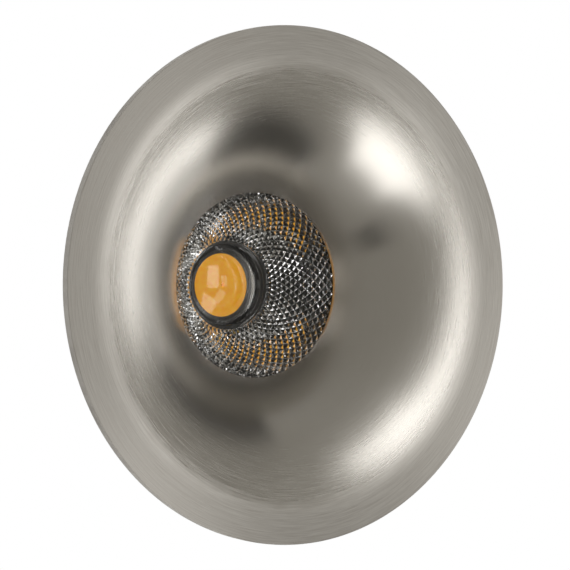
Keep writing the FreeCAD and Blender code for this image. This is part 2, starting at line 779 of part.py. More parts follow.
def make_gland_nut():
    nut = hex_bar(gland_hex, (x_nut, 0, z_gland), (x_nut_end, 0, z_gland))
    corner = gland_hex / 2 / math.cos(math.radians(30))
    dome = Part.makeCone(corner + gland_nut_end, gland_hex / 2 - cut_margin, gland_nut_end + gland_nut_end,
                         V(x_nut_end - 2 * gland_nut_end, 0, z_gland), X_AXIS)
    blunt = gland_rod(corner + cut_margin, x_nut, x_nut_end - 2 * gland_nut_end).fuse(dome)
    nut = nut.common(blunt)
    nut = nut.cut(gland_rod(gland_sleeve_radius, x_nut - cut_margin, x_insert_end + seat_clearance))
    return nut.cut(gland_rod(gland_nut_hole, x_nut, x_nut_end + cut_margin))


def make_gland_locknut():
    start = gland_pad_inner - gland_locknut_thickness
    nut = hex_bar(gland_locknut_hex, (start, 0, z_gland), (gland_pad_inner, 0, z_gland))
    return nut.cut(gland_rod(gland_thread_radius, start - cut_margin, gland_pad_inner + cut_margin))


def make_gland_washer():
    washer = gland_rod(gland_washer_radius, gland_pad_outer, x_flange)
    return washer.cut(gland_rod(gland_thread_radius, gland_pad_outer - cut_margin, x_flange + cut_margin))


# ---------------------------------------------------------------- terminal block
def terminal_poles():
    return [side * terminal_pitch / 2 for side in (-1, 1)]


def terminal_screw_places():
    return [(x, side * terminal_screw_offset) for x in terminal_poles() for side in (-1, 1)]


def make_terminal_block():
    half_x, half_y = terminal_width / 2, terminal_depth / 2
    z_bore = z_sink_top + terminal_bore_height
    z_roof = z_sink_top + terminal_height
    block = box((-half_x, -half_y, z_sink_top), (half_x, half_y, z_roof))
    for x in terminal_poles():
        block = block.cut(rod(terminal_clamp_radius, (x, -half_y - cut_margin, z_bore),
                              (x, half_y + cut_margin, z_bore)))
    for x, y in terminal_screw_places():
        block = block.cut(rod(terminal_screw_radius + through_clearance, (x, y, z_bore),
                              (x, y, z_roof + cut_margin)))
    block = block.cut(rod(fixing_radius + through_clearance, (0, 0, z_sink_top - cut_margin),
                          (0, 0, z_roof + cut_margin)))
    return block.cut(rod(fixing_head_radius + seat_clearance, (0, 0, z_roof - terminal_fixing_head_depth),
                         (0, 0, z_roof + cut_margin)))


def make_terminal_clamps():
    z_bore = z_sink_top + terminal_bore_height
    reach = terminal_depth / 2 - terminal_clamp_inset
    clamps = []
    for x in terminal_poles():
        clamp = rod(terminal_clamp_radius, (x, -reach, z_bore), (x, reach, z_bore))
        clamp = clamp.cut(rod(terminal_clamp_bore, (x, -reach - cut_margin, z_bore),
                              (x, reach + cut_margin, z_bore)))
        for side in (-1, 1):
            y = side * terminal_screw_offset
            clamp = clamp.cut(rod(terminal_screw_radius, (x, y, z_bore),
                                  (x, y, z_bore + terminal_clamp_radius + cut_margin)))
        clamps.append(clamp)
    return Part.makeCompound(clamps)


def make_terminal_screws():
    z_low = z_sink_top + terminal_bore_height + lead_diameter / 2
    z_high = z_sink_top + terminal_height - terminal_screw_inset
    screws = []
    for x, y in terminal_screw_places():
        one = rod(terminal_screw_radius, (x, y, z_low), (x, y, z_high))
        slot = box((x - terminal_screw_radius, y - socket_depth / 4, z_high - socket_depth / 2),
                   (x + terminal_screw_radius, y + socket_depth / 4, z_high + cut_margin))
        screws.append(one.cut(slot))
    return Part.makeCompound(screws)


def make_terminal_block_screw():
    z_seat = z_sink_top + terminal_height - terminal_fixing_head_depth
    length = z_seat - z_sink_top + sink_base_thickness
    return screw((0, 0, z_seat), (0, 0, -1), fixing_radius, fixing_head_radius, fixing_head_height, length)


# ---------------------------------------------------------------- clips
def clip_point(x, along, out_of):
    """Point of the left clip in the arm's own directions: along the arm and square to it, from the pin."""
    angle = math.radians(arm_rest_angle)
    y = pivot_reach + along * math.cos(angle) + out_of * math.sin(angle)
    z = pivot_height - along * math.sin(angle) + out_of * math.cos(angle)
    return V(x, y, z)


def arm_block(x_low, x_high, along, out_of):
    """Block whose sides follow the arm."""
    corners = [(along[0], out_of[0]), (along[1], out_of[0]), (along[1], out_of[1]), (along[0], out_of[1])]
    points = [clip_point(x_low, a, b) for a, b in corners]
    return Part.Face(Part.makePolygon(points + points[:1])).extrude(V(x_high - x_low, 0, 0))


def at_clip(shape, side):
    """The left clip's shape, or its mirror image for the right clip."""
    return shape if side > 0 else shape.mirror(ORIGIN, Y_AXIS)


def bracket_screw_places(side):
    heights = (bracket_screw_low, bracket_screw_high)
    return [(0, side * bracket_face, z_housing_front + bracket_foot + high) for high in heights]


arm_cheek_radius = pivot_reach - bracket_face - arm_cheek_gap
arm_width = bracket_width - 2 * (bracket_sheet + arm_side_gap)


def web_top():
    return -coil_radius - spring_wire / 2 - arm_web_gap


def make_clip_bracket(side):
    """Bent plate with two ears for the pin and two lugs that stop the arm."""
    half = bracket_width / 2
    low = z_housing_front + bracket_foot
    bracket = box((-half, bracket_face - bracket_sheet, low), (half, bracket_face, low + bracket_height))
    for x_side in (-1, 1):
        x_low, x_high = sorted((x_side * (half - bracket_sheet), x_side * half))
        ear = rod(bracket_ear_radius, (x_low, pivot_reach, pivot_height), (x_high, pivot_reach, pivot_height))
        cheek = box((x_low, bracket_face - bracket_sheet / 2, low),
                    (x_high, pivot_reach, pivot_height + bracket_ear_radius))
        lug_low, lug_high = sorted((x_side * (half - stop_lug_reach - bracket_sheet), x_side * half))
        web_low = web_top() - arm_sheet
        lug = arm_block(lug_low, lug_high, (stop_lug_start, stop_lug_start + stop_lug_length),
                        (web_low - facing_gap - bracket_sheet, web_low - facing_gap))
        strap = arm_block(x_low, x_high, (-stop_lug_length, stop_lug_start + stop_lug_length),
                          (web_low - facing_gap - bracket_sheet, 0))
        bracket = bracket.multiFuse([ear, cheek, lug, strap])
    bracket = bracket.cut(rod(pin_radius, (-bracket_width, pivot_reach, pivot_height),
                              (bracket_width, pivot_reach, pivot_height)))
    for place in bracket_screw_places(1):
        bracket = bracket.cut(rod(fixing_radius + through_clearance,
                                  (place[0], place[1] - bracket_sheet - cut_margin, place[2]),
                                  (place[0], place[1] + cut_margin, place[2])))
    return at_clip(bracket.removeSplitter(), side)


def make_clip_bracket_screws():
    length = bracket_sheet + bracket_screw_depth
    return Part.makeCompound([
        screw(place, (0, -side, 0), fixing_radius, fixing_head_radius, fixing_head_height, length)
        for side in (-1, 1) for place in bracket_screw_places(side)])


def make_clip_pin(side):
    half = bracket_width / 2
    middle = (pivot_reach, pivot_height)
    pin = rod(pin_radius, (-half - pin_head_height, *middle), (half + pin_head_height, *middle))
    for x in (-half - pin_head_height, half):
        pin = pin.fuse(rod(pin_head_radius, (x, *middle), (x + pin_head_height, *middle)))
    return at_clip(pin, side)


def spring_path():
    """Wire of the left spring: leg on the plate, turns about the pin, leg on the arm."""
    start_angle = math.pi
    end_angle = math.radians(270 - arm_rest_angle)
    sweep = 2 * math.pi * coil_full_turns + end_angle - start_angle
    steps = math.ceil(sweep / (math.pi / 2))
    climb = coil_width / sweep

    def point(share):
        angle = start_angle + sweep * share
        return V(coil_width * (share - 0.5), pivot_reach + coil_radius * math.cos(angle),
                 pivot_height + coil_radius * math.sin(angle))

    def heading(share):
        angle = start_angle + sweep * share
        return V(climb, -coil_radius * math.sin(angle), coil_radius * math.cos(angle)).normalize()

    edges = [Part.makeLine(point(0) - heading(0) * spring_plate_leg, point(0))]
    for i in range(steps):
        here, there = i / steps, (i + 1) / steps
        edges += biarc(point(here), heading(here), point(there), heading(there))
    edges.append(Part.makeLine(point(1), point(1) + heading(1) * spring_arm_leg))
    pitch = climb * 2 * math.pi
    print("clip spring: least gap between turns", round(pitch - spring_wire, 2))
    return edges


def make_clip_spring(side):
    return at_clip(tube(spring_path(), spring_wire / 2), side)


def make_clip_arm(side):
    """Pressed arm: web below the spring, two cheeks on the pin, lifted foot at the tip."""
    half = arm_width / 2
    top = web_top()
    low = top - arm_sheet
    foot_low = low + arm_foot_lift
    web = arm_block(-half, half, (arm_web_start, arm_foot_start + arm_sheet), (low, top))
    riser = arm_block(-half, half, (arm_foot_start, arm_foot_start + arm_sheet), (low, foot_low + arm_sheet))
    foot = arm_block(-half, half, (arm_foot_start, arm_length), (foot_low, foot_low + arm_sheet))
    pieces = [riser, foot]
    for x_side in (-1, 1):
        x_low, x_high = sorted((x_side * (half - arm_sheet), x_side * half))
        pieces.append(rod(arm_cheek_radius, (x_low, pivot_reach, pivot_height), (x_high, pivot_reach, pivot_height)))
        pieces.append(arm_block(x_low, x_high, (arm_web_start, arm_foot_start), (low, low + arm_flange_height)))
        pieces.append(arm_block(x_low, x_high, (0, arm_cheek_length / 2), (low + arm_sheet, 0)))
    arm = web.multiFuse(pieces)
    arm = arm.cut(rod(pin_radius + pivot_clearance, (-bracket_width, pivot_reach, pivot_height),
                      (bracket_width, pivot_reach, pivot_height)))
    return at_clip(arm.removeSplitter(), side)


def make_clip_boot(side):
    """Soft cap over the foot of the arm."""
    half = arm_width / 2
    foot_low = web_top() - arm_sheet + arm_foot_lift
    start = arm_foot_start + arm_sheet + seat_clearance
    boot = arm_block(-half - boot_wall, half + boot_wall, (start, arm_length + boot_wall),
                     (foot_low - boot_wall, foot_low + arm_sheet + boot_wall))
    pocket = arm_block(-half, half, (start - cut_margin, arm_length), (foot_low, foot_low + arm_sheet))
    return at_clip(boot.cut(pocket), side)


# ---------------------------------------------------------------- the assembly
parts = {
    "bezel": make_bezel(),
    "soffit_gasket": make_soffit_gasket(),
    "neck_seal": make_neck_seal(),
    "housing": make_housing(),
    "lens": make_lens(),
    "lens_seal": make_lens_seal(),
    "lens_carrier": make_lens_carrier(),
    "thermal_pad": make_thermal_pad(),
    "led_board": make_led_board(),
    "led_dam": make_led_dam(),
    "led_phosphor": make_led_phosphor(),
    "led_holder": make_led_holder(),
    "led_holder_screws": make_led_holder_screws(),
    "led_contacts": make_led_contacts(),
    "lead_red": make_lead(1),
    "lead_black": make_lead(-1),
    "wire_grommet": make_wire_grommet(),
    "heat_sink": make_heat_sink(),
    "heat_sink_gasket": make_heat_sink_gasket(),
    "heat_sink_screws": make_heat_sink_screws(),
    "wiring_cover": make_wiring_cover(),
    "wiring_cover_gasket": make_wiring_cover_gasket(),
    "wiring_cover_screws": make_wiring_cover_screws(),
    "gland_body": make_gland_body(),
    "gland_insert": make_gland_insert(),
    "gland_nut": make_gland_nut(),
    "gland_locknut": make_gland_locknut(),
    "gland_washer": make_gland_washer(),
    "terminal_block": make_terminal_block(),
    "terminal_clamps": make_terminal_clamps(),
    "terminal_screws": make_terminal_screws(),
    "terminal_block_screw": make_terminal_block_screw(),
    "clip_bracket_screws": make_clip_bracket_screws(),
}
for side, name in ((1, "left"), (-1, "right")):
    parts["clip_bracket_" + name] = make_clip_bracket(side)
    parts["clip_pin_" + name] = make_clip_pin(side)
    parts["clip_spring_" + name] = make_clip_spring(side)
    parts["clip_arm_" + name] = make_clip_arm(side)
    parts["clip_boot_" + name] = make_clip_boot(side)

os.makedirs("parts", exist_ok=True)
for name, shape in parts.items():
    shape.exportStep("parts/" + name + ".step")
print(len(parts), "sub-parts")
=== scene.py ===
import math

import bmesh
import bpy
from mathutils import Matrix, Vector


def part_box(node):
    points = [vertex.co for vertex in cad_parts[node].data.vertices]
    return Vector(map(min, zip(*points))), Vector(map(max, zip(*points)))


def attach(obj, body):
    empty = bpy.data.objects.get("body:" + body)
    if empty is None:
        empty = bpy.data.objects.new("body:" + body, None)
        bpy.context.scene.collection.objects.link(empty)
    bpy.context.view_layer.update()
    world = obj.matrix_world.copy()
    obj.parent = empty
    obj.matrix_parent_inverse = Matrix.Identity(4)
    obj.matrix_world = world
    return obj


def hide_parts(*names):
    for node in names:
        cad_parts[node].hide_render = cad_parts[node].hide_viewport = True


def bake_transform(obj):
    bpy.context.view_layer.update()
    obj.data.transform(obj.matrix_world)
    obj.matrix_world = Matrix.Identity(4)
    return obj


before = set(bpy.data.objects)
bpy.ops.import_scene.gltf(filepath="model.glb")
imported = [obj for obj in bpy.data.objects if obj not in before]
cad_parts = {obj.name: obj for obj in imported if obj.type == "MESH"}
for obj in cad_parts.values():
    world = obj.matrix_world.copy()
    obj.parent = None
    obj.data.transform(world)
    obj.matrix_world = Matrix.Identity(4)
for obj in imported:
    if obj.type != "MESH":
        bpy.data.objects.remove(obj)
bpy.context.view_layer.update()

# ------------------------------------------------------------------ camera
# The photograph looks up at the fitting from a third of a metre below it, 32.7 degrees off its axis. The
# frame is 112 mm wide where the front of the rim lies, and the camera stands a little to the left.
MM = 0.001
view_angle = math.radians(32.7)
towards_camera = Vector((-math.sin(view_angle), 0, -math.cos(view_angle)))
camera_right = Vector((math.cos(view_angle), 0, -math.sin(view_angle)))
camera_up = Vector((0, -1, 0))
rim_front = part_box("bezel")[0].z
frame_width = 112.1 * MM
camera_distance = 340 * MM
camera_left = 3.5 * MM
camera_data = bpy.data.cameras.new("camera")
camera_data.sensor_width = 36
camera_data.lens = camera_data.sensor_width * camera_distance / frame_width
camera_data.clip_start = 0.01
camera = bpy.data.objects.new("camera", camera_data)
bpy.context.scene.collection.objects.link(camera)
camera_place = Vector((0, 0, rim_front)) + towards_camera * camera_distance - camera_right * camera_left
camera.matrix_world = Matrix.Translation(camera_place) @ Matrix(
    (camera_right, camera_up, towards_camera)).transposed().to_4x4()
bpy.context.scene.camera = camera
bpy.context.scene.view_settings.view_transform = "Standard"


# ------------------------------------------------------------------ studio
# A pale floor far below, an even grey room that is white where it is seen, and three white softboxes and
# four black cards whose reflections shape the nickel.
def linear(code):
    """Linear colour of an sRGB hex value."""
    parts = [int(code[i:i + 2], 16) / 255 for i in (1, 3, 5)]
    return tuple(p / 12.92 if p <= 0.04045 else ((p + 0.055) / 1.055) ** 2.4 for p in parts) + (1,)


def add(tree, kind, inputs=None, **settings):
    """Adds a node with its settings, and fills its sockets with values or other nodes' outputs."""
    made = tree.nodes.new(kind)
    for name, value in settings.items():
        setattr(made, name, value)
    for name, value in (inputs or {}).items():
        if isinstance(value, bpy.types.NodeSocket):
            tree.links.new(value, made.inputs[name])
        else:
            made.inputs[name].default_value = value
    return made


world = bpy.data.worlds.new("studio")
bpy.context.scene.world = world
world.use_nodes = True
room = world.node_tree
room.nodes.clear()
rays = add(room, "ShaderNodeLightPath")
seen = add(room, "ShaderNodeMath", {0: rays.outputs["Is Camera Ray"], 1: rays.outputs["Is Transmission Ray"]},
           operation="MAXIMUM")
seen = add(room, "ShaderNodeMath", {0: seen.outputs[0], 1: rays.outputs["Is Glossy Ray"]}, operation="MAXIMUM")
dim_room = add(room, "ShaderNodeBackground", {"Color": linear("#BDBBB6"), "Strength": 0.8})
white_room = add(room, "ShaderNodeBackground", {"Color": (1, 1, 1, 1), "Strength": 1.0})
mixed = add(room, "ShaderNodeMixShader", {0: seen.outputs[0], 1: dim_room.outputs[0], 2: white_room.outputs[0]})
add(room, "ShaderNodeOutputWorld", {"Surface": mixed.outputs[0]})

floor_size = 40
floor_drop = 3.4
bpy.ops.object.select_all(action="DESELECT")
bpy.ops.mesh.primitive_plane_add(size=floor_size, location=(0, 0, -floor_drop))
floor = bpy.context.object
floor.name = "studio_floor"
floor_paint = bpy.data.materials.new("matt_studio_paint")
floor_paint.use_nodes = True
floor_shader = floor_paint.node_tree.nodes["Principled BSDF"]
floor_shader.inputs["Base Color"].default_value = linear("#D2D0CB")
floor_shader.inputs["Roughness"].default_value = 0.9
floor.data.materials.append(floor_paint)


def stand_facing(aside, height, away):
    """Place and heading of a stand that faces the fitting. It is an angle aside from the camera, turned
    about the view (degrees, right and up positive), and so many metres away."""
    aside, height = math.radians(aside), math.radians(height)
    sideways = camera_right * math.cos(height) + camera_up * math.sin(height)
    place = (towards_camera * math.cos(aside) + sideways * math.sin(aside)) * away
    back = place.normalized()
    upright = (camera_up - back * camera_up.dot(back)).normalized()
    return place, Matrix((upright.cross(back), upright, back)).transposed()


def softbox(name, aside, height, away, width, tall, radiance, turn=0.0):
    """A lamp with a soft white face, turned in its own plane by an angle in degrees."""
    lamp = bpy.data.lights.new(name, "AREA")
    lamp.shape = "RECTANGLE"
    lamp.size = width
    lamp.size_y = tall
    lamp.energy = radiance * math.pi * width * tall
    stand = bpy.data.objects.new(name, lamp)
    bpy.context.scene.collection.objects.link(stand)
    stand.location, facing = stand_facing(aside, height, away)
    stand.rotation_mode = "QUATERNION"
    stand.rotation_quaternion = (facing @ Matrix.Rotation(math.radians(turn), 3, "Z")).to_quaternion()
    stand.visible_camera = False


softbox("side_softbox", 93, -8, 0.45, 0.11, 0.19, 2.5)
softbox("front_softbox", 53, 12, 0.45, 0.12, 0.20, 2.6)
softbox("low_softbox", 48, -38, 0.45, 0.17, 0.26, 2.2, -30)


def flag(name, aside, height, away, width, tall, cloth):
    """A card that the metal reflects as a dark patch. Only reflections see it, so it casts no shadow."""
    bpy.ops.object.select_all(action="DESELECT")
    bpy.ops.mesh.primitive_plane_add(size=1)
    card = bpy.context.object
    card.name = name
    place, facing = stand_facing(aside, height, away)
    card.matrix_world = Matrix.Translation(place) @ facing.to_4x4() @ Matrix.Diagonal((width, tall, 1, 1))
    card.data.materials.append(cloth)
    card.visible_camera = False
    card.visible_diffuse = False
    card.visible_shadow = False
    card.visible_transmission = False


black_felt = bpy.data.materials.new("black_studio_felt")
black_felt.use_nodes = True
felt_shader = black_felt.node_tree.nodes["Principled BSDF"]
felt_shader.inputs["Base Color"].default_value = linear("#2A2927")
felt_shader.inputs["Roughness"].default_value = 1.0
flag("low_flag", 96, -46, 0.7, 0.46, 0.50, black_felt)
flag("near_flag", 34, -113, 0.7, 0.22, 0.20, black_felt)
flag("high_flag", 110, 30, 0.9, 0.56, 0.56, black_felt)
flag("ceiling_flag", 150, 180, 1.1, 2.4, 2.4, black_felt)


# ------------------------------------------------------------------ bezel
# Turned brass, nickel plated and brushed while it spun, so the scratches run in rings. One piece
# from the flat rim through the flare to the bayonet neck.
def turned(name, outline, steps, closed=True):
    """Outline of (radius, height) in mm, extruded point by point and spun about the optical axis."""
    bpy.ops.object.select_all(action="DESELECT")
    start = Vector((outline[0][0], 0, outline[0][1])) * MM
    bpy.ops.mesh.primitive_plane_add(size=MM, location=start)
    piece = bpy.context.object
    piece.name = name
    bpy.ops.object.mode_set(mode="EDIT")
    bpy.ops.mesh.select_all(action="SELECT")
    bpy.ops.mesh.merge(type="CENTER")
    points = outline + outline[:1] if closed else outline
    for here, there in zip(points, points[1:]):
        step = ((there[0] - here[0]) * MM, 0, (there[1] - here[1]) * MM)
        bpy.ops.mesh.extrude_region_move(TRANSFORM_OT_translate={"value": step})
    bpy.ops.mesh.select_all(action="SELECT")
    bpy.ops.mesh.remove_doubles(threshold=1e-6)
    bpy.ops.mesh.spin(steps=steps, angle=2 * math.pi, center=(0, 0, 0), axis=(0, 0, 1), use_auto_merge=True)
    bpy.ops.mesh.select_all(action="SELECT")
    bpy.ops.mesh.remove_doubles(threshold=1e-6)
    bpy.ops.mesh.dissolve_degenerate(threshold=1e-7)
    bpy.ops.mesh.normals_make_consistent(inside=False)
    bpy.ops.object.mode_set(mode="OBJECT")
    bpy.ops.object.transform_apply(location=True, rotation=True, scale=True)
    piece.data.name = name
    return piece


def bend(centre, radius, start, end, count):
    """Points of an arc, by the angle from the radius axis in degrees."""
    angles = [math.radians(start + (end - start) * i / count) for i in range(count + 1)]
    return [(centre[0] + radius * math.cos(a), centre[1] + radius * math.sin(a)) for a in angles]


def finished(piece, material, body, replaced, smooth=30):
    """Smooths a piece up to an angle, gives it its material and hangs it on its body."""
    bpy.ops.object.select_all(action="DESELECT")
    piece.select_set(True)
    bpy.context.view_layer.objects.active = piece
    bpy.ops.object.shade_smooth_by_angle(angle=math.radians(smooth))
    piece.data.materials.clear()
    piece.data.materials.append(material)
    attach(piece, body)
    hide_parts(replaced)


rim_radius = 51.0
rim_thickness = 2.0
rim_round = 0.3
flare_radius = 47.0
flare_depth = 17.0
throat_radius = 19.0
throat_edge = 0.4
neck_radius = 24.6
neck_inner_radius = 22.8
flare_steps = 72
flare_back_steps = 36
round_steps = 5
turning_steps = 256
z_front = rim_front / MM
z_back = z_front + rim_thickness
z_throat = z_front + flare_depth
z_lip = z_throat + throat_edge
z_neck_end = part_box("bezel")[1].z / MM
flare_sweep = math.degrees(2 * math.atan2(flare_depth, flare_radius - throat_radius))
flare_bend = (flare_radius - throat_radius) / math.sin(math.radians(flare_sweep))
flare_centre = (flare_radius, z_front + flare_bend)
neck_sweep = math.degrees(math.asin((flare_radius - neck_radius) / (flare_bend - rim_thickness)))
bezel_outline = (
    bend(flare_centre, flare_bend, 270 - flare_sweep, 270, flare_steps)
    + bend((rim_radius - rim_round, z_front + rim_round), rim_round, -90, 0, round_steps)
    + bend((rim_radius - rim_round, z_back - rim_round), rim_round, 0, 90, round_steps)
    + bend(flare_centre, flare_bend - rim_thickness, 270, 270 - neck_sweep, flare_back_steps)
    + [(neck_radius, z_neck_end - rim_round), (neck_radius - rim_round, z_neck_end),
       (neck_inner_radius, z_neck_end), (neck_inner_radius, z_lip), (throat_radius, z_lip)]
)
bezel = turned("nickel_bezel", bezel_outline, turning_steps)

# Warm grey nickel. The ring scratches spread its highlights into fans that run from the centre outwards,
# and the rim, where the brush bears hardest, is duller than the flare.
scratch_turns = 6.0
scratches_per_mm = 5.0
scratch_depth = 0.05 * MM
dull_start = 41.5 * MM
dull_end = 46.5 * MM
nickel = bpy.data.materials.new("brushed_nickel")
nickel.use_nodes = True
tree = nickel.node_tree
shader = tree.nodes["Principled BSDF"]
shader.inputs["Metallic"].default_value = 1.0
shader.inputs["Anisotropic"].default_value = 0.8
shader.inputs["Anisotropic Rotation"].default_value = 0.25
place = add(tree, "ShaderNodeTexCoord")
split = add(tree, "ShaderNodeSeparateXYZ", {"Vector": place.outputs["Object"]})
level = add(tree, "ShaderNodeCombineXYZ", {"X": split.outputs["X"], "Y": split.outputs["Y"]})
radius = add(tree, "ShaderNodeVectorMath", {0: level.outputs[0]}, operation="LENGTH")
heading = add(tree, "ShaderNodeVectorMath", {0: level.outputs[0]}, operation="NORMALIZE")
# a scratch is about 8 mm long and a fifth of a millimetre wide, drawn coarser than real so it shows
along_ring = add(tree, "ShaderNodeVectorMath", {0: heading.outputs[0], 1: (scratch_turns, scratch_turns, 0)},
                 operation="MULTIPLY")
ring_number = add(tree, "ShaderNodeMath", {0: radius.outputs["Value"], 1: scratches_per_mm / MM},
                  operation="MULTIPLY")
ring_up = add(tree, "ShaderNodeCombineXYZ", {"Z": ring_number.outputs[0]})
scratch_place = add(tree, "ShaderNodeVectorMath", {0: along_ring.outputs[0], 1: ring_up.outputs[0]})
scratch = add(tree, "ShaderNodeTexNoise", {"Vector": scratch_place.outputs[0], "Scale": 1.0, "Detail": 3.0,
                                          "Roughness": 0.65})
outer = add(tree, "ShaderNodeMapRange", {"Value": radius.outputs["Value"], "From Min": 0.030, "From Max": 0.048,
                                         "To Min": 0.12, "To Max": 1.0})
strength = add(tree, "ShaderNodeMath", {0: scratch.outputs["Fac"], 1: 0.5}, operation="SUBTRACT")
strength = add(tree, "ShaderNodeMath", {0: strength.outputs[0], 1: outer.outputs[0]}, operation="MULTIPLY")
tone = add(tree, "ShaderNodeMapRange", {"Value": strength.outputs[0], "From Min": -0.25, "From Max": 0.25})
paint = add(tree, "ShaderNodeMix", {"Factor": tone.outputs[0], "A": linear("#B4AFA8"), "B": linear("#DBD8D2")},
            data_type="RGBA")
tree.links.new(paint.outputs["Result"], shader.inputs["Base Color"])
gloss = add(tree, "ShaderNodeMapRange", {"Value": strength.outputs[0], "From Min": -0.25, "From Max": 0.25,
                                         "To Min": 0.18, "To Max": 0.34})
worn = add(tree, "ShaderNodeMapRange", {"Value": radius.outputs["Value"], "From Min": dull_start,
                                        "From Max": dull_end, "To Min": 0.0, "To Max": 0.3},
           interpolation_type="SMOOTHSTEP")
gloss = add(tree, "ShaderNodeMath", {0: gloss.outputs[0], 1: worn.outputs[0]})
tree.links.new(gloss.outputs[0], shader.inputs["Roughness"])
grain = add(tree, "ShaderNodeBump", {"Height": strength.outputs[0], "Strength": 0.6, "Distance": scratch_depth})
tree.links.new(grain.outputs[0], shader.inputs["Normal"])
around = add(tree, "ShaderNodeTangent", direction_type="RADIAL", axis="Z")
tree.links.new(around.outputs[0], shader.inputs["Tangent"])
finished(bezel, nickel, "bezel", "bezel")


# ------------------------------------------------------------------ soffit gasket and neck seal
# A ring of closed-cell foam glued behind the rim, dull and pitted, and a moulded rubber ring with a soft
# sheen in a groove of the neck. Between them they keep the damp out.
def grained(name, dark, light, roughness, metallic=0.0, grain_size=0.2, bump=0.2, coat=0.0):
    """A finish whose tone, gloss and surface vary with a fine grain of the given size in mm, and in patches
    of some 8 mm."""
    patches_per_mm = 0.12
    gloss_spread = 0.06
    made = bpy.data.materials.new(name)
    made.use_nodes = True
    tree = made.node_tree
    shader = tree.nodes["Principled BSDF"]
    shader.inputs["Metallic"].default_value = metallic
    shader.inputs["Coat Weight"].default_value = coat
    place = add(tree, "ShaderNodeTexCoord")
    fine = add(tree, "ShaderNodeTexNoise", {"Vector": place.outputs["Object"], "Scale": 1 / (grain_size * MM),
                                           "Detail": 3.0})
    broad = add(tree, "ShaderNodeTexNoise", {"Vector": place.outputs["Object"], "Scale": patches_per_mm / MM,
                                            "Detail": 4.0})
    both = add(tree, "ShaderNodeMath", {0: fine.outputs["Fac"], 1: broad.outputs["Fac"]}, operation="ADD")
    tone = add(tree, "ShaderNodeMapRange", {"Value": both.outputs[0], "From Min": 0.75, "From Max": 1.25})
    paint = add(tree, "ShaderNodeMix", {"Factor": tone.outputs[0], "A": linear(dark), "B": linear(light)},
                data_type="RGBA")
    tree.links.new(paint.outputs["Result"], shader.inputs["Base Color"])
    gloss = add(tree, "ShaderNodeMapRange", {"Value": broad.outputs["Fac"], "From Min": 0.3, "From Max": 0.7,
                                             "To Min": roughness - gloss_spread,
                                             "To Max": roughness + gloss_spread})
    tree.links.new(gloss.outputs[0], shader.inputs["Roughness"])
    relief = add(tree, "ShaderNodeBump", {"Height": fine.outputs["Fac"], "Strength": bump,
                                          "Distance": grain_size * MM / 4})
    tree.links.new(relief.outputs[0], shader.inputs["Normal"])
    return made


def dressed(finish, *pieces):
    """Gives a finish to pieces that are loaded ready made."""
    for piece in pieces:
        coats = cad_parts[piece].data.materials
        coats.clear()
        coats.append(finish)


foam = grained("closed_cell_foam", "#151516", "#242426", 0.9, grain_size=0.5, bump=0.9)
rubber = grained("moulded_rubber", "#0E0E0E", "#191919", 0.7, grain_size=0.15, bump=0.3)
dressed(foam, "soffit_gasket")
dressed(rubber, "neck_seal")

# ------------------------------------------------------------------ lens
# Clear acrylic, injection moulded and polished. Its flange hides behind the throat; the curved back
# wall carries sixty rows of raised diamonds in a net of narrow flat lands.
lens_low, lens_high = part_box("lens")
z_lens = lens_low.z / MM
z_foot = lens_high.z / MM
flange_radius = lens_high.x / MM
flange_thickness = 0.8
wall_top_radius = 19.6
foot_radius = 9.4
foot_height = 1.9
foot_round = 0.15
wall_bulge = 1.2
recess_radius = 8.6
recess_depth = 2.4
lip_round = 0.12
lip_steps = 4
recess_steps = 14
cells_around = 60
cells_along = 8
cell_rise = 0.34
land_width = 0.10
z_wall_top = z_lens + flange_thickness
z_wall_end = z_foot - foot_height


def wall_point(share):
    """Point of the lens wall from its flange (0) to its foot (1)."""
    fall, rise = wall_top_radius - foot_radius, z_wall_end - z_wall_top
    swell = wall_bulge * 4 * share * (1 - share) / math.hypot(fall, rise)
    return wall_top_radius - fall * share + swell * rise, z_wall_top + rise * share + swell * fall


rows = 2 * cells_along
lens = turned("clear_lens", [wall_point(i / rows) for i in range(rows + 1)], 2 * cells_around, closed=False)
bpy.ops.object.mode_set(mode="EDIT")
bpy.ops.mesh.select_all(action="SELECT")
bpy.ops.mesh.unsubdivide(iterations=1)
bpy.ops.mesh.select_all(action="SELECT")
bpy.ops.mesh.normals_make_consistent(inside=False)
bpy.ops.mesh.inset(thickness=land_width * MM / 2, use_individual=True, use_boundary=True)
bpy.ops.mesh.poke(offset=cell_rise * MM)
bpy.ops.object.mode_set(mode="OBJECT")

recess_bend = (recess_radius ** 2 + recess_depth ** 2) / (2 * recess_depth)
recess_sweep = math.degrees(math.asin(recess_radius / recess_bend))
front_outline = [wall_point(0), (flange_radius, z_wall_top), (flange_radius, z_lens), (0.0, z_lens)]
foot_outline = (
    [wall_point(1)]
    + bend((foot_radius - foot_round, z_foot - foot_round), foot_round, 0, 90, lip_steps)
    + bend((recess_radius + lip_round, z_foot - lip_round), lip_round, 90, 180, lip_steps)
    + bend((0.0, z_foot - recess_depth + recess_bend), recess_bend, 270 + recess_sweep, 270, recess_steps)
)
lens_front = turned("lens_front", front_outline, cells_around, closed=False)
lens_foot = turned("lens_foot", foot_outline, cells_around, closed=False)
bpy.ops.object.select_all(action="DESELECT")
for part in (lens_front, lens_foot, lens):
    part.select_set(True)
bpy.context.view_layer.objects.active = lens
bpy.ops.object.join()
bpy.ops.object.mode_set(mode="EDIT")
bpy.ops.mesh.select_all(action="SELECT")
bpy.ops.mesh.remove_doubles(threshold=4e-6)
bpy.ops.mesh.normals_make_consistent(inside=False)
bpy.ops.object.mode_set(mode="OBJECT")

